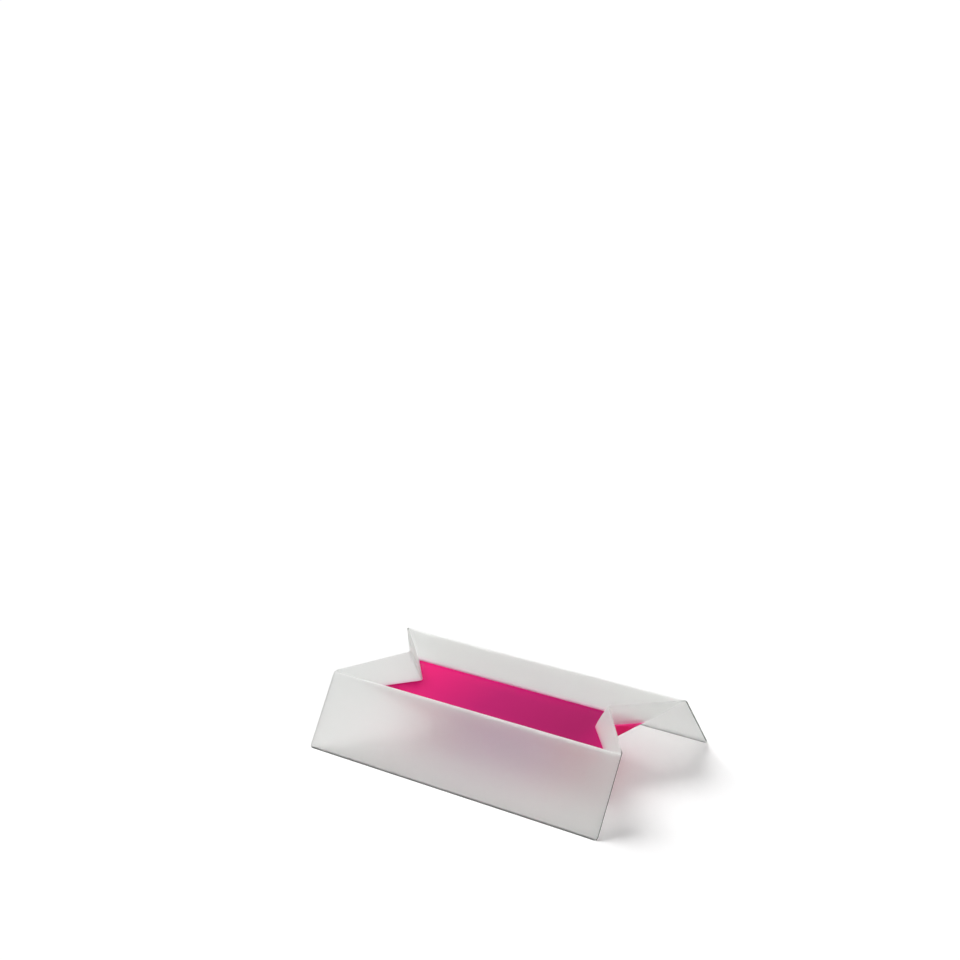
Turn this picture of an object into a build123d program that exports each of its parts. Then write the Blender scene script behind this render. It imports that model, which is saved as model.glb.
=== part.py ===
"""Folded reagent reservoir: one sheet of plastic folded into a W, with reagent in its trough.

The sheet lies in four equal strips: leg, trough wall, trough wall, leg. At each end the bottom
fold of the trough forks, and the piece between its two branches is pushed inwards as a gusset,
so that the trough is closed without a cut. X runs along the ridges, Y across them and Z is up.
The origin is at the middle of the footprint, on the surface that the legs stand on.
Sizes are in millimetres and degrees, and are those of the sheet's upper face.
"""
import os
from math import atan2, cos, radians, sin, tan

from build123d import *

os.makedirs("parts", exist_ok=True)

# Driving dimensions
sheet_length = 120.0  # along the ridges
strip_width = 28.7  # each of the four strips, from fold to fold
sheet_thickness = 0.5
wall_tilt = 50.0  # trough walls, from upright
leg_tilt = 34.3  # legs, from upright
fold_radius = 1.5  # outside of a fold
corner_radius = 1.2  # the sheet's four cut corners
gusset_depth = 28.4  # from the sheet's end in to the fork of the bottom fold
gusset_swing = 80.7  # how far the middle of the end edge leans in from upright
freeboard = 7.5  # from the ridges' fold lines down to the reagent

# Worked out from them
inner_radius = fold_radius - sheet_thickness
half_length = sheet_length / 2
wall_angle = radians(wall_tilt)
leg_angle = radians(leg_tilt)
ridge_height = strip_width * cos(leg_angle)
ridge_offset = strip_width * sin(wall_angle)
trough_depth = strip_width * cos(wall_angle)
valley_height = ridge_height - trough_depth
foot_trim = 2 * sheet_thickness  # cut off each leg to leave a level foot
toe_offset = ridge_offset + (ridge_height + foot_trim) * tan(leg_angle)
reagent_level = ridge_height - freeboard
overrun = 2 * strip_width  # how far a cutting solid reaches past the sheet

# The rounding lowers each ridge below its fold line
ridge_half_angle = (wall_angle + leg_angle) / 2
crest_height = ridge_height - fold_radius * (1 / sin(ridge_half_angle) - 1)

# Gusset at +X: its nose fold rises from the fork to the tip, the middle of the end edge
fork = Vector(half_length - gusset_depth, 0, valley_height)
tip_inset = trough_depth * sin(radians(gusset_swing))
tip_rise = trough_depth * cos(radians(gusset_swing))
tip = Vector(half_length - tip_inset, 0, ridge_height + tip_rise)
nose_axis = (tip - fork).normalized()
nose_plane = Plane(origin=fork, x_dir=nose_axis.cross(Vector(0, -1, 0)), z_dir=nose_axis)
ridge_end = nose_plane.to_local_coords(Vector(half_length, ridge_offset, ridge_height))
nose_angle = atan2(ridge_end.Y, ridge_end.X)  # from the middle plane to a gusset panel

# The end edge runs from the tip down to the two ridges, all in one plane
edge_foot = Vector(half_length - sheet_thickness, 0, crest_height)
edge_plane = Plane(origin=tip, x_dir=(0, 1, 0), z_dir=(tip - edge_foot).cross(Vector(0, -1, 0)))


def trough_room(drop, top):
    """Profile of the space in the trough, from `drop` under its upper face up to height `top`."""
    floor = valley_height - drop / sin(wall_angle)
    reach = (top - floor) * tan(wall_angle)
    with BuildSketch(Plane.YZ) as room:
        with BuildLine():
            Polyline((0, floor), (reach, top), (-reach, top), close=True)
        make_face()
        fillet(room.vertices().sort_by(Axis.Y)[0], radius=inner_radius + drop)
    return room.sketch


def end_hollow(drop):
    """Profile of the hollow behind the gusset, from `drop` under its upper face outwards."""
    nose = drop / sin(nose_angle)
    reach = (overrun - nose) * tan(nose_angle)
    with BuildSketch(nose_plane) as hollow:
        with BuildLine():
            Polyline((nose, 0), (overrun, reach), (overrun, -reach), close=True)
        make_face()
        fillet(hollow.vertices().sort_by(Axis.X)[0], radius=fold_radius - drop)
    return hollow.sketch


# What the gusset keeps out of the trough, and the open hollow behind it
with BuildPart() as wet_side:
    extrude(end_hollow(0), amount=overrun, both=True)

with BuildPart() as dry_side:
    extrude(end_hollow(sheet_thickness), amount=overrun, both=True)

# The gusset itself: two panels and the fold between them, down to the walls' underside
with BuildPart() as gusset:
    add(wet_side.part)
    add(dry_side.part, mode=Mode.SUBTRACT)
    extrude(trough_room(sheet_thickness, tip.Z), amount=half_length, mode=Mode.INTERSECT)
    split(bisect_by=edge_plane, keep=Keep.BOTTOM)

with BuildPart() as folded_sheet:
    # legs, ridges, walls and bottom fold in one run
    with BuildSketch(Plane.YZ):
        with BuildLine():
            FilletPolyline(
                (-toe_offset, -foot_trim),
                (-ridge_offset, ridge_height),
                (0, valley_height),
                (ridge_offset, ridge_height),
                (toe_offset, -foot_trim),
                radius=(fold_radius, inner_radius, fold_radius),
            )
            offset(amount=sheet_thickness, side=Side.RIGHT)
        make_face()
    extrude(amount=half_length, both=True)
    # level feet, and the sheet's cut corners rounded
    with BuildSketch(Plane.XZ) as side_view:
        Rectangle(sheet_length, ridge_height, align=(Align.CENTER, Align.MIN))
        fillet(side_view.vertices().group_by(Axis.Y)[0], radius=corner_radius)
    extrude(amount=toe_offset, both=True, mode=Mode.INTERSECT)
    # at each end the walls stop where the bottom fold forks, and the gusset takes over
    add(dry_side.part, mode=Mode.SUBTRACT)
    add(dry_side.part.mirror(Plane.YZ), mode=Mode.SUBTRACT)
    add(gusset.part)
    add(gusset.part.mirror(Plane.YZ))
folded_sheet.part.label = "folded_sheet"
export_step(folded_sheet.part, "parts/folded_sheet.step")

with BuildPart() as reagent:
    # fills the trough up to its level, between the wet faces of the two gussets
    extrude(trough_room(0, reagent_level), amount=half_length, both=True)
    add(wet_side.part, mode=Mode.SUBTRACT)
    add(wet_side.part.mirror(Plane.YZ), mode=Mode.SUBTRACT)
reagent.part.label = "reagent"
export_step(reagent.part, "parts/reagent.step")

print(f"sheet {folded_sheet.part.volume / 1000:.2f} ml, reagent {reagent.part.volume / 1000:.2f} ml")
print(f"ridges {ridge_height:.2f} high, {2 * ridge_offset:.2f} apart, trough {trough_depth:.2f} deep")
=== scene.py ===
# %% [markdown]
# # A folded reagent reservoir
#
# The object is one sheet of frosted plastic, folded like paper into a W. The middle of the W is a
# trough that holds a pink reagent, and the two outer strips are the legs that it stands on.
#
# The CAD model is loaded first. Its solids stay where they are, and everything below is built
# around them in the same frame: metres, X along the ridges, Y across them, Z up.

# %% Load the CAD frame
from math import cos, exp, pi, radians, sin

import bmesh
import bpy
from mathutils import Matrix, Vector
from mathutils.bvhtree import BVHTree
from mathutils.geometry import delaunay_2d_cdt


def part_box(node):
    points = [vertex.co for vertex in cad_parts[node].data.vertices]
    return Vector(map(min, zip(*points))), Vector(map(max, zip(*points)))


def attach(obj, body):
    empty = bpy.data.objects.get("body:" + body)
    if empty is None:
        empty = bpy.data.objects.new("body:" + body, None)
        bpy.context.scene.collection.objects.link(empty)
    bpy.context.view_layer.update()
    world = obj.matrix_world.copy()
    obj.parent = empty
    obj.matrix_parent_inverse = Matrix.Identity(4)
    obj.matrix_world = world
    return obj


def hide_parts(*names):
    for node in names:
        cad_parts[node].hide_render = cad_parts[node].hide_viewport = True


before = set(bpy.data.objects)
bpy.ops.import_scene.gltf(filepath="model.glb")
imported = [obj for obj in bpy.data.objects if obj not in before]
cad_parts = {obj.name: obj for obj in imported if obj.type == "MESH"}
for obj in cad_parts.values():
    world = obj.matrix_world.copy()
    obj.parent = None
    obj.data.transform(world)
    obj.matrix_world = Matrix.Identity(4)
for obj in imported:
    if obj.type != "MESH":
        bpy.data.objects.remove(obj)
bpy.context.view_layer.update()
bpy.context.scene.view_settings.view_transform = "Standard"
MM = 0.001

# %% [markdown]
# ## Camera
#
# A small object looks natural from a little above and from some way off, with a lens a bit longer
# than the normal one. The camera is placed by the two angles that a photographer would name, how
# far round and how high, and is then rolled a little, as a hand-held camera is.

# %% Place the camera
AZIMUTH, ELEVATION, ROLL = radians(35.77), radians(18.95), radians(-2.27)
AIM = Vector((-0.1758, 0.2336, 0.0))
DISTANCE = 0.8478
LENS_MM, SENSOR_MM = 59.96, 36.0
NEAREST = 0.01

back = Vector((sin(AZIMUTH) * cos(ELEVATION), -cos(AZIMUTH) * cos(ELEVATION), sin(ELEVATION)))
level_right = Vector((cos(AZIMUTH), sin(AZIMUTH), 0.0))
level_up = back.cross(level_right)
right = level_right * cos(ROLL) + level_up * sin(ROLL)
up = back.cross(right)

camera_data = bpy.data.cameras.new("camera")
camera_data.lens = LENS_MM
camera_data.sensor_width = SENSOR_MM
camera = bpy.data.objects.new("camera", camera_data)
bpy.context.scene.collection.objects.link(camera)
place = AIM + back * DISTANCE
camera.matrix_world = Matrix((
    (right.x, up.x, back.x, place.x),
    (right.y, up.y, back.y, place.y),
    (right.z, up.z, back.z, place.z),
    (0, 0, 0, 1),
))
camera_data.clip_start = NEAREST
bpy.context.scene.camera = camera
print("camera at", [round(c, 4) for c in place])

# %% [markdown]
# ## Node trees written as formulas
#
# Blender's shader trees and geometry trees are both nodes joined by links. Clicking them together
# is fine for a few nodes. Here the same steps come back many times, so small helpers write a tree
# as formulas. `feed` puts a value or a link into a socket, `sums` adds Math nodes, `part_of` is the
# sum that comes back most often, and each of the others adds the one node that it is named after.


# %% Helpers for node trees
def feed(tree, socket, value):
    """Put a number, a vector or another node's output into a socket."""
    if isinstance(value, bpy.types.NodeSocket):
        tree.links.new(value, socket)
    else:
        socket.default_value = value


def sums(tree):
    """A function that adds one Math node to the tree and gives its output."""

    def add(operation, *values, clamp=False):
        node = tree.nodes.new("ShaderNodeMath")
        node.operation = operation
        node.use_clamp = clamp
        for socket, value in zip(node.inputs, values):
            feed(tree, socket, value)
        return node.outputs[0]

    return add


def part_of(m, value, start, end):
    """How far a value has come from start to end, from 0 to 1."""
    return m("DIVIDE", m("SUBTRACT", value, start), end - start, clamp=True)


def split_xyz(tree, vector):
    """The three numbers of a vector."""
    node = tree.nodes.new("ShaderNodeSeparateXYZ")
    tree.links.new(vector, node.inputs[0])
    return node.outputs["X"], node.outputs["Y"], node.outputs["Z"]


def new_material(name):
    """An empty node material, with its output node."""
    material = bpy.data.materials.new(name)
    material.use_nodes = True
    tree = material.node_tree
    tree.nodes.clear()
    return material, tree, tree.nodes.new("ShaderNodeOutputMaterial")


def mix_colour(tree, factor, first, second):
    """Blend two colours by a factor."""
    node = tree.nodes.new("ShaderNodeMix")
    node.data_type = "RGBA"
    feed(tree, node.inputs["Factor"], factor)
    feed(tree, node.inputs["A"], first)
    feed(tree, node.inputs["B"], second)
    return node.outputs["Result"]


def mix_shader(tree, factor, first, second):
    """Blend two shaders by a factor."""
    node = tree.nodes.new("ShaderNodeMixShader")
    feed(tree, node.inputs[0], factor)
    tree.links.new(first, node.inputs[1])
    tree.links.new(second, node.inputs[2])
    return node.outputs[0]


def noise(tree, vector, scale, detail=2.0):
    """Cloudy noise on a vector, from 0 to 1."""
    node = tree.nodes.new("ShaderNodeTexNoise")
    tree.links.new(vector, node.inputs["Vector"])
    node.inputs["Scale"].default_value = scale
    node.inputs["Detail"].default_value = detail
    return node.outputs["Fac"]


def bsdf(tree, kind, colour, **numbers):
    """A shader with its colour and its constant numbers."""
    node = tree.nodes.new(kind)
    feed(tree, node.inputs["Base Color" if "Base Color" in node.inputs else "Color"], colour)
    for name, number in numbers.items():
        node.inputs[name.replace("_", " ")].default_value = number
    return node


# %% [markdown]
# ## Floor and light
#
# The reservoir stands on white paper. Paper that is fully lit should show as plain white, so its
# colour and the level of the light together come to a little over 1. Real paper would also throw
# most of that light back up through the thin plastic and wash out its shading. Light Path's Is
# Diffuse Ray tells when the paper is lighting something else, and there it acts like the dark card
# that photographers lay beside a white object to keep its shades.
#
# The light comes from two places: an even pale sky, and one wide soft lamp, high on the left and a
# little behind. A Sun with a wide angle is a handy stand-in for a window, since its level doesn't
# change with distance. The two levels add up to about 1, so a colour renders about as it is
# written. The camera and the reflections see the sky as plain white.

# %% White paper floor
FLOOR_RADIUS, FLOOR_SIDES = 40.0, 96
PAPER_WHITE = (0.94, 0.94, 0.94, 1)
PAPER_BOUNCE = (0.15, 0.15, 0.15, 1)

paper, tree, output = new_material("white_paper")
path = tree.nodes.new("ShaderNodeLightPath")
paper_colour = mix_colour(tree, path.outputs["Is Diffuse Ray"], PAPER_WHITE, PAPER_BOUNCE)
matt = bsdf(tree, "ShaderNodeBsdfDiffuse", paper_colour)
tree.links.new(matt.outputs[0], output.inputs["Surface"])

mesh = bpy.data.meshes.new("floor")
shape = bmesh.new()
bmesh.ops.create_circle(shape, cap_ends=True, segments=FLOOR_SIDES, radius=FLOOR_RADIUS)
shape.to_mesh(mesh)
shape.free()
mesh.materials.append(paper)
floor = bpy.data.objects.new("floor", mesh)
bpy.context.scene.collection.objects.link(floor)
print("floor of", 2 * FLOOR_RADIUS, "m across at z = 0")

# %% Sky and lamp
SKY_LIGHT = 0.36
LAMP_LIGHT = 0.74
LAMP_FROM = Vector((-0.55, 0.25, 0.80)).normalized()
LAMP_WIDTH = radians(40)

world = bpy.data.worlds.new("sky")
bpy.context.scene.world = world
world.use_nodes = True
tree = world.node_tree
tree.nodes.clear()
m = sums(tree)
path = tree.nodes.new("ShaderNodeLightPath")
sky = tree.nodes.new("ShaderNodeBackground")
sky.inputs["Color"].default_value = (1, 1, 1, 1)
seen = m("MAXIMUM", path.outputs["Is Camera Ray"], path.outputs["Is Glossy Ray"])
seen = m("MAXIMUM", seen, path.outputs["Is Transmission Ray"])
tree.links.new(m("MULTIPLY_ADD", seen, 1 - SKY_LIGHT, SKY_LIGHT), sky.inputs["Strength"])
output = tree.nodes.new("ShaderNodeOutputWorld")
tree.links.new(sky.outputs[0], output.inputs["Surface"])

lamp_data = bpy.data.lights.new("window_light", "SUN")
lamp_data.energy = LAMP_LIGHT * pi / LAMP_FROM.z
lamp_data.angle = LAMP_WIDTH
window_light = bpy.data.objects.new("window_light", lamp_data)
bpy.context.scene.collection.objects.link(window_light)
window_light.rotation_euler = LAMP_FROM.to_track_quat("Z", "Y").to_euler()
print("level of the light:", round(SKY_LIGHT + LAMP_LIGHT, 3),
      "and of the lit paper:", round((SKY_LIGHT + LAMP_LIGHT) * PAPER_WHITE[0], 3))

# %% [markdown]
# ## Sizes of the fold pattern
#
# The flat sheet is four equal strips side by side. One quarter of the folded shape is fixed by
# four points, and the other three quarters are its mirror images, but for the bow of one nose:
#
# - the fork, where the bottom fold of the trough splits in two near the end of the sheet;
# - the ridge corner, where a ridge reaches the end;
# - the tip, the middle of the end edge, which is pushed inwards and stands up;
# - the toe, the corner that stands on the floor.
#
# The sizes are the same ones that the CAD part is driven by.

# %% The four points
STRIP = 28.7 * MM
THICKNESS = 0.5 * MM
WALL_TILT, LEG_TILT = radians(50.0), radians(34.3)
GUSSET_DEPTH = 28.4 * MM
GUSSET_SWING = radians(80.7)
FREEBOARD = 7.5 * MM
CORNER_RADIUS = 1.2 * MM

_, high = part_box("folded_sheet")
half_length = high.x
ridge_height = STRIP * cos(LEG_TILT)
ridge_offset = STRIP * sin(WALL_TILT)
trough_depth = STRIP * cos(WALL_TILT)
valley_height = ridge_height - trough_depth
reagent_level = ridge_height - FREEBOARD

fork = Vector((half_length - GUSSET_DEPTH, 0, valley_height))
ridge_corner = Vector((half_length, ridge_offset, ridge_height))
tip = Vector((
    half_length - trough_depth * sin(GUSSET_SWING),
    0,
    ridge_height + trough_depth * cos(GUSSET_SWING),
))
toe = ridge_corner + STRIP * Vector((0, sin(LEG_TILT), -cos(LEG_TILT)))
for name, point in (("fork", fork), ("ridge corner", ridge_corner), ("tip", tip), ("toe", toe)):
    print(f"{name:13}", [round(c / MM, 2) for c in point])

# %% [markdown]
# ## Frosted plastic
#
# The sheet is thin polypropylene with a fine satin surface. Light soaks into it and partly comes
# out on the other side, so that whatever stands close behind it shows as a soft shadow. Clear
# glass would show too much and paint would hide everything. A Principled BSDF with most of its
# light transmitted lies between the two, and its roughness blurs what is seen through it. A small
# share of Translucent BSDF adds the glow of a film that is lit from behind.
#
# Where the reagent wets the sheet, the frosting fills up with liquid and its white haze is gone.
# From below, the trough then shows the full pink, with a sharp edge at the level. Just above the
# level a faint pink glow is painted on, standing in for light that the reagent scatters up into
# the film. In the middle of the trough, where the liquid is deepest, the pink turns to purple. All
# of this is worked out from the place of a point, in Object coordinates.
#
# The cut edges are painted greyer than the faces: pale grey, and near-black on the legs. That is
# partly the dark rim of a cut edge and partly painted shade. A hair's breadth of the feet beside
# their edge is painted the same dark grey, a painted contact shadow. The cut edges are marked with
# an attribute when the sheet is made.

# %% Frosted sheet material
SHEET_WHITE = (0.90, 0.908, 0.895, 1)
SHEET_SHADE = (0.88, 0.888, 0.875, 1)
# cut-edge greys: pale elsewhere, near-black on the legs, which is partly painted shade
EDGE_GREY_AND_SHADE = (0.03, 0.035, 0.03, 1)
EDGE_PALE = (0.80, 0.80, 0.79, 1)
# a painted contact shadow this high along the feet
FOOT_SHADOW_BAND = 0.12 * MM
WET_PINK = (1.00, 0.14, 0.47, 1)
WET_DEEP = (0.80, 0.02, 0.78, 1)
# a painted pink glow just above the level, standing in for light that the reagent scatters up into
# the film
PAINTED_PINK_GLOW = (0.92, 0.58, 0.74, 1)
PINK_GLOW_HEIGHT = 1.2 * MM
CUT_EDGE, UPPER_FACE = "cut_edge", "upper_face"
BETWEEN_WALLS = 18 * MM
PINK_GLOW_SHARE = 0.4
LEG_FROM, LEG_TO = 19 * MM, 22 * MM
END_FROM, END_TO = 16 * MM, 32 * MM
SHALLOW = 3 * MM
CLOUD_SCALE, CLOUD_DETAIL = 60.0, 3.0
GRAIN_SCALE, GRAIN_STRENGTH, GRAIN_DEPTH = 4500.0, 0.25, 0.02 * MM
DRY_GLOW, WET_GLOW = 0.1, 0.7

frosted, tree, output = new_material("frosted_polypropylene")
m = sums(tree)
place_on_sheet = tree.nodes.new("ShaderNodeTexCoord").outputs["Object"]
x, y, z = split_xyz(tree, place_on_sheet)

# how wet a point is: below the level and between the two wetted walls
in_trough = m("LESS_THAN", m("ABSOLUTE", y), BETWEEN_WALLS)
above_level = m("SUBTRACT", z, reagent_level)
wet = m("MULTIPLY", in_trough, m("LESS_THAN", above_level, 0.0))
# painted glow: pink light painted on the film just above the level, fading upwards
fade = part_of(m, above_level, PINK_GLOW_HEIGHT, 0.0)
pink_glow = m("MULTIPLY", m("MULTIPLY", in_trough, fade), PINK_GLOW_SHARE)

clouds = noise(tree, place_on_sheet, CLOUD_SCALE, CLOUD_DETAIL)
colour = mix_colour(tree, clouds, SHEET_WHITE, SHEET_SHADE)
colour = mix_colour(tree, pink_glow, colour, PAINTED_PINK_GLOW)
# the cut edges, marked with an attribute, and a hair's breadth beside each foot get the edge grey:
# near-black on the legs, part dark rim and part painted shade, with a painted contact shadow along
# the feet
edge = tree.nodes.new("ShaderNodeAttribute")
edge.attribute_name = CUT_EDGE
on_leg = part_of(m, m("ABSOLUTE", y), LEG_FROM, LEG_TO)
edge_and_foot_shade = m("MAXIMUM", edge.outputs["Fac"], m("LESS_THAN", z, FOOT_SHADOW_BAND))
colour = mix_colour(tree, edge_and_foot_shade, colour, mix_colour(tree, on_leg, EDGE_PALE, EDGE_GREY_AND_SHADE))

bump = tree.nodes.new("ShaderNodeBump")
bump.inputs["Strength"].default_value = GRAIN_STRENGTH
bump.inputs["Distance"].default_value = GRAIN_DEPTH
tree.links.new(noise(tree, place_on_sheet, GRAIN_SCALE), bump.inputs["Height"])

satin = bsdf(tree, "ShaderNodeBsdfPrincipled", colour, Roughness=0.55, IOR=1.3,
             Transmission_Weight=0.77)
tree.links.new(bump.outputs["Normal"], satin.inputs["Normal"])
through = bsdf(tree, "ShaderNodeBsdfTranslucent", colour)
dry_film = mix_shader(tree, DRY_GLOW, satin.outputs[0], through.outputs[0])

near_end = part_of(m, m("ABSOLUTE", x), END_FROM, END_TO)
near_level = part_of(m, above_level, -SHALLOW, 0.0)
wet_colour = mix_colour(tree, m("MAXIMUM", near_end, near_level), WET_DEEP, WET_PINK)
wet_face = bsdf(tree, "ShaderNodeBsdfPrincipled", wet_colour, Roughness=0.35,
                Specular_IOR_Level=0.0)
wet_through = bsdf(tree, "ShaderNodeBsdfTranslucent", wet_colour)
wet_film = mix_shader(tree, WET_GLOW, wet_face.outputs[0], wet_through.outputs[0])
tree.links.new(mix_shader(tree, wet, dry_film, wet_film), output.inputs["Surface"])
print("frosted sheet:", len(tree.nodes), "nodes")

# %% [markdown]
# ## Reagent
#
# The reagent is water with a strong pink dye. Thin layers of it look bright pink, and the deeper
# it gets the more light the dye takes out, down to a dark magenta. Real volume absorption would
# show that, but it is slow and the exported model can't carry it. So the surface is a plain
# Principled BSDF whose colour changes with place. Light and shade are painted into it: painted
# light at the left, where the lamp's light enters, and painted shade towards the right. It is
# bright again where it is shallow, at the ends and along the sides, less so at the shaded right.
#
# What the liquid does to light that passes through it is a second question. For shadow rays, and
# for the rays that light the plastic, Light Path turns the surface into a pink filter. That
# filtered light is what tints the legs from the inside.

# %% Reagent material
# painted light and shade: lit pink at the left, where the lamp's light comes in, shaded magenta
# towards the right
LIT_AND_SHALLOW_PINK = (0.75, 0.008, 0.163, 1)
MIDDLE_PINK = (0.45, 0.006, 0.128, 1)
SHADED_MAGENTA = (0.35, 0.005, 0.10, 1)
LIGHT_THROUGH = (1.00, 0.28, 0.80, 1)
GLOW_THROUGH = (0.55, 0.06, 0.42, 1)
LIT_TO_MIDDLE = (-42 * MM, -6 * MM)
MIDDLE_TO_SHADED = (-6 * MM, 30 * MM)
SHALLOW_END = (34 * MM, 46 * MM)
SHALLOW_SIDE = (7 * MM, 15 * MM)
END_SHARE, SIDE_SHARE, SHADED_END_SHARE = 0.8, 0.35, 0.7

dyed, tree, output = new_material("pink_reagent")
m = sums(tree)
place_in_reagent = tree.nodes.new("ShaderNodeTexCoord").outputs["Object"]
x, y, z = split_xyz(tree, place_in_reagent)
# painted light and shade from left to right along the reagent
towards_middle = part_of(m, x, *LIT_TO_MIDDLE)
towards_shade = part_of(m, x, *MIDDLE_TO_SHADED)
colour = mix_colour(tree, towards_middle, LIT_AND_SHALLOW_PINK, MIDDLE_PINK)
colour = mix_colour(tree, towards_shade, colour, SHADED_MAGENTA)
# the shallow ends and sides are brighter, but less so towards the right, under the painted shade
end_thin = part_of(m, m("ABSOLUTE", x), *SHALLOW_END)
side_thin = part_of(m, m("ABSOLUTE", y), *SHALLOW_SIDE)
thin = m("MAXIMUM", m("MULTIPLY", end_thin, END_SHARE), m("MULTIPLY", side_thin, SIDE_SHARE))
thin = m("MULTIPLY", thin, m("SUBTRACT", 1.0, m("MULTIPLY", towards_shade, SHADED_END_SHARE)))
colour = mix_colour(tree, thin, colour, LIT_AND_SHALLOW_PINK)
liquid = bsdf(tree, "ShaderNodeBsdfPrincipled", colour, Roughness=0.08, IOR=1.33,
              Specular_IOR_Level=0.05)
lamp_light = bsdf(tree, "ShaderNodeBsdfTransparent", LIGHT_THROUGH)
glow = bsdf(tree, "ShaderNodeBsdfTransparent", GLOW_THROUGH)
path = tree.nodes.new("ShaderNodeLightPath")
looks = mix_shader(tree, path.outputs["Is Diffuse Ray"], liquid.outputs[0], glow.outputs[0])
looks = mix_shader(tree, path.outputs["Is Shadow Ray"], looks, lamp_light.outputs[0])
tree.links.new(looks, output.inputs["Surface"])
print("reagent:", len(tree.nodes), "nodes")

# %% [markdown]
# ## Folding the sheet with Geometry Nodes
#
# A folded sheet follows a rule, so the tree folds it. A flat grid has two numbers for each of its
# points: how far along the sheet and how far across. Each fold is one hinge: nothing happens
# before the fold line, and past it the point moves off in a new direction. A Math node set to
# Smooth Maximum is such a hinge, and its third input rounds the fold.
#
# The rows are crowded towards the folds and the edges, where the shape turns, and the rows along
# and across are matched, so that the slanting creases of the gussets run corner to corner through
# the grid. The same rule would fold paper: change a tilt and the sheet opens or closes.
#
# A real sheet is never folded quite evenly. The nose of the right-hand gusset is bowed, inwards and
# towards the far wall, so the tree moves it by a vector of its own. The move is greatest half-way
# up the nose, and fades to nothing at the fork, along the creases and along the end edge.

# %% The folding tree
ROWS = 40
MIDDLE_COLUMNS = 48
EVEN_SHARE = 0.5
TINY = 1e-9
along, across = ROWS + MIDDLE_COLUMNS // 2, 2 * ROWS

folding = bpy.data.node_groups.new("fold_a_sheet", "GeometryNodeTree")
folding.is_modifier = True
SIZES = {}
for name, kind in (
    ("Strip Width", "NodeSocketFloat"),
    ("Gusset Depth", "NodeSocketFloat"),
    ("Thickness", "NodeSocketFloat"),
    ("Corner Radius", "NodeSocketFloat"),
    ("Ridge Softness", "NodeSocketFloat"),
    ("Bottom Softness", "NodeSocketFloat"),
    ("Nose Softness", "NodeSocketFloat"),
    ("Crease Softness", "NodeSocketFloat"),
    ("Fork", "NodeSocketVector"),
    ("Ridge Corner", "NodeSocketVector"),
    ("Tip", "NodeSocketVector"),
    ("Toe", "NodeSocketVector"),
    ("Nose Bow", "NodeSocketVector"),
    ("Finish", "NodeSocketMaterial"),
):
    SIZES[name] = folding.interface.new_socket(name=name, in_out="INPUT", socket_type=kind)
folding.interface.new_socket(name="Sheet", in_out="OUTPUT", socket_type="NodeSocketGeometry")
given = folding.nodes.new("NodeGroupInput").outputs
m = sums(folding)


def node(kind, **inputs):
    """Add a node to the folding tree and fill the named inputs."""
    made = folding.nodes.new(kind)
    for name, value in inputs.items():
        feed(folding, made.inputs[name.replace("_", " ")], value)
    return made


# the flat grid runs from -1 to 1 both ways
grid = node("GeometryNodeMeshGrid", Size_X=2.0, Size_Y=2.0,
            Vertices_X=2 * along + 1, Vertices_Y=2 * across + 1)
grid_x, grid_y, _ = split_xyz(folding, node("GeometryNodeInputPosition").outputs[0])


def crowd(share):
    """Pull rows towards both ends of a strip: half even, half smoothstep."""
    smooth = folding.nodes.new("ShaderNodeMapRange")
    smooth.interpolation_type = "SMOOTHSTEP"
    feed(folding, smooth.inputs["Value"], share)
    even = m("MULTIPLY", share, EVEN_SHARE)
    return m("MULTIPLY_ADD", smooth.outputs["Result"], 1 - EVEN_SHARE, even)


def hinge(value, softness):
    """0 before the fold line, the value itself past it, and a soft bend between."""
    return m("SMOOTH_MAX", value, 0.0, softness)


# %% Distances along and across the flat sheet
strip, gusset = given["Strip Width"], given["Gusset Depth"]
fork_x, _, fork_z = split_xyz(folding, given["Fork"])
corner_x, corner_y, corner_z = split_xyz(folding, given["Ridge Corner"])
tip_x, _, tip_z = split_xyz(folding, given["Tip"])
_, toe_y, toe_z = split_xyz(folding, given["Toe"])

fork_share = (along - ROWS) / along
x_share, y_share = m("ABSOLUTE", grid_x), m("ABSOLUTE", grid_y)
flat_x = m("ADD", m("MULTIPLY", part_of(m, x_share, 0.0, fork_share), fork_x),
           m("MULTIPLY", crowd(part_of(m, x_share, fork_share, 1.0)), gusset))
flat_y = m("MULTIPLY", strip, m("ADD", crowd(part_of(m, y_share, 0.0, 0.5)),
                                crowd(part_of(m, y_share, 0.5, 1.0))))

# round the four cut corners: squeeze the last little square into a quarter disc
rounding = given["Corner Radius"]
past_x = m("MAXIMUM", m("SUBTRACT", flat_x, m("SUBTRACT", corner_x, rounding)), 0.0)
edge_y = m("MULTIPLY", strip, 2.0)
past_y = m("MAXIMUM", m("SUBTRACT", flat_y, m("SUBTRACT", edge_y, rounding)), 0.0)
longer = m("MAXIMUM", past_x, past_y)
slant = m("SQRT", m("ADD", m("MULTIPLY", past_x, past_x), m("MULTIPLY", past_y, past_y)))
loss = m("SUBTRACT", 1.0, m("DIVIDE", longer, m("MAXIMUM", slant, TINY)))
flat_x = m("SUBTRACT", flat_x, m("MULTIPLY", past_x, loss))
flat_y = m("SUBTRACT", flat_y, m("MULTIPLY", past_y, loss))

# %% The folds
# the ridge: past it the leg takes over from the wall
ridge_soft = given["Ridge Softness"]
down_leg = hinge(m("SUBTRACT", flat_y, strip), ridge_soft)
up_wall = m("SUBTRACT", strip, hinge(m("SUBTRACT", strip, flat_y), ridge_soft))
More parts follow.
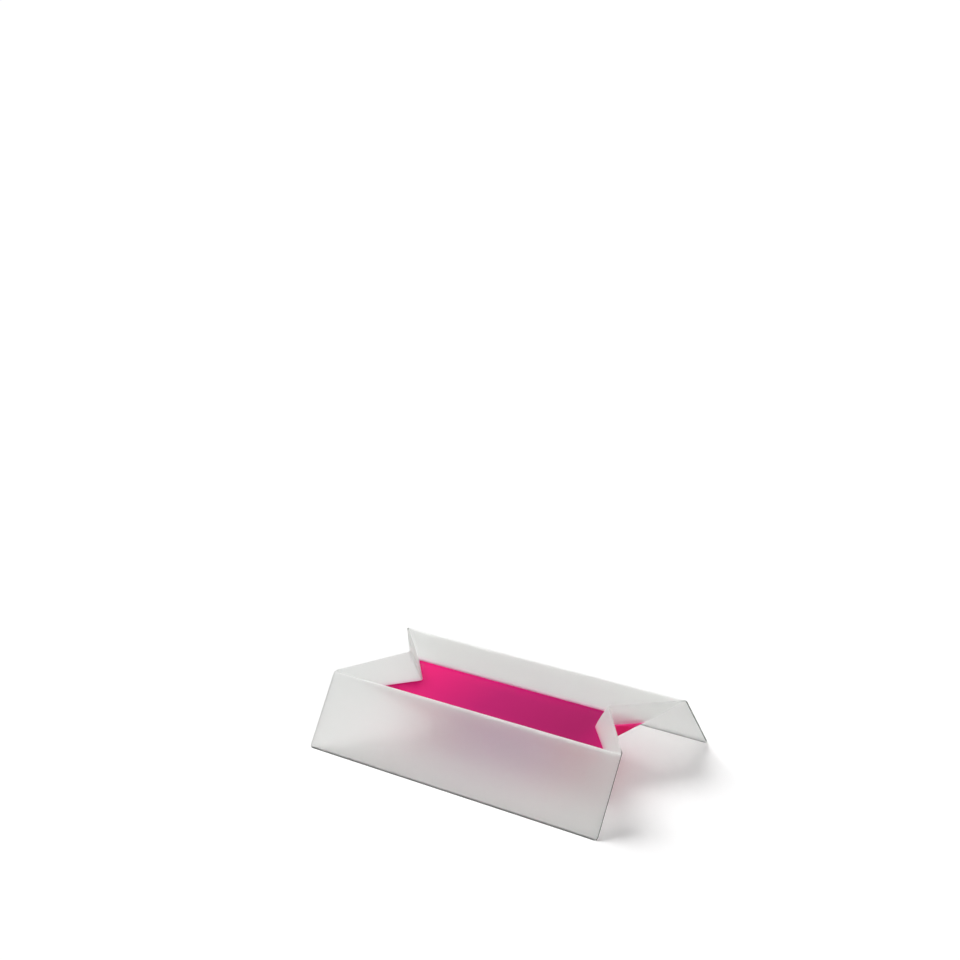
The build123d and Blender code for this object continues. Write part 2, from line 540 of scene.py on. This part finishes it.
# the bottom fold: the two walls meet in a soft bottom, and past the fork in a softer nose
past_fork = m("SUBTRACT", flat_x, fork_x)
nose_share = m("DIVIDE", past_fork, gusset, clamp=True)
more = m("MULTIPLY", nose_share, m("SUBTRACT", given["Nose Softness"], given["Bottom Softness"]))
risen = m("SMOOTH_MAX", up_wall, m("MULTIPLY", up_wall, -1.0),
          m("ADD", given["Bottom Softness"], more))
wall_share = m("DIVIDE", risen, strip)

# the gusset's crease runs from the fork to the ridge corner; past it the gusset leans inwards
crease_length = m("SQRT", m("ADD", m("MULTIPLY", strip, strip), m("MULTIPLY", gusset, gusset)))
past_crease = m("DIVIDE", m("SUBTRACT", m("MULTIPLY", past_fork, strip),
                            m("MULTIPLY", risen, gusset)), crease_length)
room = m("MULTIPLY", m("SUBTRACT", strip, risen), 0.5)
crease_soft = m("MINIMUM", given["Crease Softness"], room)
to_share = m("DIVIDE", crease_length, m("MULTIPLY", strip, gusset))
in_gusset = m("MULTIPLY", to_share, hinge(past_crease, crease_soft))
short_of_it = m("MULTIPLY", to_share, hinge(m("MULTIPLY", past_crease, -1.0), crease_soft))

# the right-hand nose is bowed: most half-way up, and not at all at the creases and the end edge;
# a share times what is left of it is a quarter at half-way, and the gain makes that 1
BOW_GAIN = 4.0
half_way = m("MULTIPLY", m("MULTIPLY", in_gusset, m("SUBTRACT", 1.0, nose_share)), BOW_GAIN)
bowed = m("MULTIPLY", half_way, m("GREATER_THAN", grid_x, 0.0))
bow_x, bow_y, _ = split_xyz(folding, given["Nose Bow"])

leg_share = m("DIVIDE", down_leg, strip)
folded_x = m("MULTIPLY_ADD", wall_share, gusset, fork_x)
folded_x = m("MULTIPLY_ADD", in_gusset, m("SUBTRACT", tip_x, fork_x), folded_x)
folded_x = m("SUBTRACT", folded_x, m("MULTIPLY", short_of_it, gusset))
folded_y = m("MULTIPLY", m("DIVIDE", up_wall, strip), corner_y)
folded_y = m("MULTIPLY_ADD", leg_share, m("SUBTRACT", toe_y, corner_y), folded_y)
folded_z = m("MULTIPLY_ADD", wall_share, m("SUBTRACT", corner_z, fork_z), fork_z)
folded_z = m("MULTIPLY_ADD", in_gusset, m("SUBTRACT", tip_z, fork_z), folded_z)
folded_z = m("MULTIPLY_ADD", leg_share, m("SUBTRACT", toe_z, corner_z), folded_z)
folded_x = m("MULTIPLY_ADD", bowed, bow_x, m("MULTIPLY", folded_x, m("SIGN", grid_x)))
folded_y = m("MULTIPLY_ADD", bowed, bow_y, m("MULTIPLY", folded_y, m("SIGN", grid_y)))
folded = node("ShaderNodeCombineXYZ", X=folded_x, Y=folded_y, Z=folded_z)

# %% Thickness, level feet and the tree's last nodes
SAME_PLACE = 0.5e-6

upper = node("GeometryNodeSetPosition", Geometry=grid.outputs["Mesh"], Position=folded.outputs[0])
cut_up = node("GeometryNodeTriangulate", Mesh=upper.outputs[0])
if "Quad Method" in cut_up.inputs:
    cut_up.inputs["Quad Method"].default_value = "Longest Diagonal"
else:
    cut_up.quad_method = "LONGEST_DIAGONAL"
upper_face = cut_up.outputs["Mesh"]

# the lower face is the upper one turned over and pushed down by the thickness
turned = node("GeometryNodeFlipFaces", Mesh=upper_face)
lower = node("GeometryNodeExtrudeMesh", Mesh=turned.outputs[0], Offset_Scale=given["Thickness"])
lower.mode = "FACES"
lower.inputs["Individual"].default_value = False


def mark(mesh, name, value):
    """Store a number with the faces of a mesh."""
    made = node("GeometryNodeStoreNamedAttribute", Geometry=mesh, Name=name)
    made.data_type = "FLOAT"
    made.domain = "FACE"
    feed(folding, made.inputs["Value"], value)
    return made.outputs[0]


marked = mark(lower.outputs["Mesh"], CUT_EDGE, lower.outputs["Side"])

# the legs end square to their faces, so the lower face is slid up to the floor: a level foot
now_x, now_y, now_z = split_xyz(folding, node("GeometryNodeInputPosition").outputs[0])
leg_run = m("SUBTRACT", toe_y, corner_y)
leg_drop = m("SUBTRACT", corner_z, toe_z)
slide_up = m("MAXIMUM", m("MULTIPLY", now_z, -1.0), 0.0)
slide_in = m("MULTIPLY", m("DIVIDE", m("MULTIPLY", slide_up, leg_run), leg_drop),
             m("MULTIPLY", m("SIGN", now_y), -1.0))
# and no point of it reaches past the ends of the sheet
reach = m("MINIMUM", m("ABSOLUTE", now_x), corner_x)
slide_back = m("SUBTRACT", m("MULTIPLY", reach, m("SIGN", now_x)), now_x)
level = node("GeometryNodeSetPosition", Geometry=marked,
             Offset=node("ShaderNodeCombineXYZ", X=slide_back, Y=slide_in, Z=slide_up).outputs[0])

both = folding.nodes.new("GeometryNodeJoinGeometry")
folding.links.new(level.outputs[0], both.inputs[0])
folding.links.new(mark(upper_face, UPPER_FACE, 1.0), both.inputs[0])
closed = node("GeometryNodeMergeByDistance", Geometry=both.outputs[0], Distance=SAME_PLACE)
real = node("GeometryNodeRealizeInstances", Geometry=closed.outputs[0])
dressed = node("GeometryNodeSetMaterial", Geometry=real.outputs[0], Material=given["Finish"])
folding.links.new(dressed.outputs[0], folding.nodes.new("NodeGroupOutput").inputs[0])
print("folding tree:", len(folding.nodes), "nodes")

# %% [markdown]
# The modifier goes on an empty mesh and is given the sizes by the sockets' identifiers. A Bevel
# after it takes the sharpness off the cut edges. The evaluated result is then copied out as a
# plain mesh, which stands in for the CAD solid of the sheet.

# %% Fold the sheet
RIDGE_SOFTNESS = 1.8 * MM
BOTTOM_SOFTNESS = 2.85 * MM
NOSE_SOFTNESS = 5.4 * MM
CREASE_SOFTNESS = 1.2 * MM
EDGE_ROUNDING, EDGE_TURN = 0.12 * MM, radians(40)
NOSE_BOW = Vector((-1.8, 2.4, 0.0)) * MM

blank = bpy.data.objects.new("blank", bpy.data.meshes.new("blank"))
bpy.context.scene.collection.objects.link(blank)
fold = blank.modifiers.new("fold", "NODES")
fold.node_group = folding
for name, value in (
    ("Strip Width", STRIP),
    ("Gusset Depth", GUSSET_DEPTH),
    ("Thickness", THICKNESS),
    ("Corner Radius", CORNER_RADIUS),
    ("Ridge Softness", RIDGE_SOFTNESS),
    ("Bottom Softness", BOTTOM_SOFTNESS),
    ("Nose Softness", NOSE_SOFTNESS),
    ("Crease Softness", CREASE_SOFTNESS),
    ("Fork", fork),
    ("Ridge Corner", ridge_corner),
    ("Tip", tip),
    ("Toe", toe),
    ("Nose Bow", NOSE_BOW),
    ("Finish", frosted),
):
    fold[SIZES[name].identifier] = value
rounded = blank.modifiers.new("rounded_edges", "BEVEL")
rounded.width = EDGE_ROUNDING
rounded.segments = 2
rounded.limit_method = "ANGLE"
rounded.angle_limit = EDGE_TURN

evaluated = blank.evaluated_get(bpy.context.evaluated_depsgraph_get())
sheet_mesh = bpy.data.meshes.new_from_object(evaluated)
bpy.data.objects.remove(blank)
sheet_mesh.name = "plastic_sheet"
sheet_mesh.materials.clear()
sheet_mesh.materials.append(frosted)
sheet_mesh.polygons.foreach_set("material_index", [0] * len(sheet_mesh.polygons))
plastic_sheet = bpy.data.objects.new("plastic_sheet", sheet_mesh)
bpy.context.scene.collection.objects.link(plastic_sheet)
sheet_mesh.shade_smooth()
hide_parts("folded_sheet")
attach(plastic_sheet, "root")
sheet_mesh.calc_loop_triangles()
print("sheet:", len(sheet_mesh.loop_triangles), "triangles,", len(sheet_mesh.materials), "material")

# %% [markdown]
# A copy is only as good as its measurements. The refined sheet is checked against the CAD solid:
# the greatest distance of any of its points from the solid's surface, and whether it is closed.
# The softer folds make that distance a few tenths of a millimetre. The bowed nose, which the
# solid doesn't have, makes it about two and a half millimetres at the right-hand end.


# %% Measure the sheet against the solid
ML = 1e-6


def measure(piece, cad_node):
    """Greatest distance of a piece's points from a CAD node, and open or crowded edges."""
    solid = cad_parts[cad_node].data
    solid.calc_loop_triangles()
    tree = BVHTree.FromPolygons([v.co for v in solid.vertices],
                                [t.vertices for t in solid.loop_triangles])
    far = max((tree.find_nearest(v.co)[3], v.index) for v in piece.data.vertices)
    shape = bmesh.new()
    shape.from_mesh(piece.data)
    bad = [e for e in shape.edges if len(e.link_faces) != 2]
    volume = shape.calc_volume(signed=True)
    shape.free()
    where = [round(c / MM, 1) for c in piece.data.vertices[far[1]].co]
    print(f"{piece.name}: at most {far[0] / MM:.2f} mm from {cad_node}, at {where};",
          f"{len(bad)} edges without two faces; {volume / ML:.2f} ml")


measure(plastic_sheet, "folded_sheet")

# %% [markdown]
# ## Pouring the reagent
#
# A liquid takes the shape of whatever holds it. So its underside is made from the sheet itself:
# the upper faces of the trough, which the tree has marked, are copied, moved off the plastic by a
# hair, and cut off at the level. The cut leaves the shoreline, a long loop with a notch at both
# ends, where the gussets stand in the liquid. Points of it that all but touch are made one.
#
# The surface is filled in with a Delaunay triangulation of the shoreline and of a grid of points
# inside it. A real surface is drawn up a little where it touches the plastic, so every point
# inside is let down by an amount that grows with its distance from the shore. That thin curved
# rim, the meniscus, is what catches the light along the edge of a real liquid.

# %% The wetted faces and the shoreline
HAIR = 0.03 * MM
SHORE_MARGIN = 2 * MM
SHORE_STEP = 0.01 * MM

pool = bmesh.new()
pool.from_mesh(sheet_mesh)
pool.normal_update()
upper = pool.faces.layers.float[UPPER_FACE]
dry = []
for face in pool.faces:
    middle = face.calc_center_median()
    if (face[upper] < 0.5 or abs(middle.y) > ridge_offset
            or middle.z > reagent_level + SHORE_MARGIN):
        dry.append(face)
bmesh.ops.delete(pool, geom=dry, context="FACES")
pool.normal_update()
for vertex in pool.verts:
    vertex.co += HAIR * vertex.normal
everything = pool.verts[:] + pool.edges[:] + pool.faces[:]
bmesh.ops.bisect_plane(pool, geom=everything, plane_co=(0, 0, reagent_level),
                       plane_no=(0, 0, 1), clear_outer=True)
# a dict keeps the order of its keys, where a set would change it from run to run
rim = [edge for edge in pool.edges if edge.is_boundary]
level_points = list(dict.fromkeys(v for edge in rim for v in edge.verts))
bmesh.ops.remove_doubles(pool, verts=level_points, dist=SHORE_STEP)
shore = [edge for edge in pool.edges if edge.is_boundary]
print("shoreline:", len(shore), "edges,", round(sum(e.calc_length() for e in shore) / MM, 1), "mm")

# %% The surface with its meniscus
GRID_STEP = 0.8 * MM
SHORE_GAP = 0.3 * GRID_STEP
DIP, DIP_REACH = 0.20 * MM, 0.8 * MM
SHARP_TURN = radians(35)

shore_points = list(dict.fromkeys(v for edge in shore for v in edge.verts))
number = {v: i for i, v in enumerate(shore_points)}
shore_edges = [(number[e.verts[0]], number[e.verts[1]]) for e in shore]
flat_points = [v.co.xy for v in shore_points]
segments = [(flat_points[i], flat_points[j]) for i, j in shore_edges]


def to_shore(point):
    """Distance of a point of the surface from the shoreline."""
    near = 1.0
    for start, end in segments:
        run = end - start
        share = min(max((point - start).dot(run) / max(run.length_squared, TINY ** 2), 0.0), 1.0)
        near = min(near, (start + share * run - point).length)
    return near


def inside(point):
    """Whether a point lies inside: a line from it then crosses the shore an odd number of times."""
    crossings = 0
    for start, end in segments:
        if (start.y > point.y) != (end.y > point.y):
            share = (point.y - start.y) / (end.y - start.y)
            crossings += start.x + share * (end.x - start.x) > point.x
    return crossings % 2 == 1


reach_x = max(p.x for p in flat_points)
reach_y = max(p.y for p in flat_points)
depths = [0.0] * len(shore_points)
for row in range(-int(reach_y / GRID_STEP), int(reach_y / GRID_STEP) + 1):
    for column in range(-int(reach_x / GRID_STEP), int(reach_x / GRID_STEP) + 1):
        point = Vector((column * GRID_STEP, row * GRID_STEP))
        if inside(point):
            away = to_shore(point)
            if away > SHORE_GAP:
                flat_points.append(point)
                depths.append(DIP * (1 - exp(-away / DIP_REACH)))
made = delaunay_2d_cdt(flat_points, shore_edges, [], 0, TINY)
print("surface:", len(flat_points), "points,", len(made[2]), "triangles before trimming")

corners = []
for spot, origins in zip(made[0], made[3]):
    first = origins[0]
    if first < len(shore_points):
        corners.append(shore_points[first])
    else:
        corners.append(pool.verts.new((spot.x, spot.y, reagent_level - depths[first])))
for triangle in made[2]:
    centre = sum((made[0][i] for i in triangle), Vector((0, 0))) / 3
    if inside(centre):
        pool.faces.new([corners[i] for i in triangle])
bmesh.ops.recalc_face_normals(pool, faces=pool.faces[:])
pool_mesh = bpy.data.meshes.new("liquid_reagent")
pool.to_mesh(pool_mesh)
pool.free()
pool_mesh.materials.clear()
pool_mesh.materials.append(dyed)
pool_mesh.shade_smooth()
pool_mesh.set_sharp_from_angle(angle=SHARP_TURN)
liquid_reagent = bpy.data.objects.new("liquid_reagent", pool_mesh)
bpy.context.scene.collection.objects.link(liquid_reagent)
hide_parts("reagent")
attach(liquid_reagent, "root")
measure(liquid_reagent, "reagent")
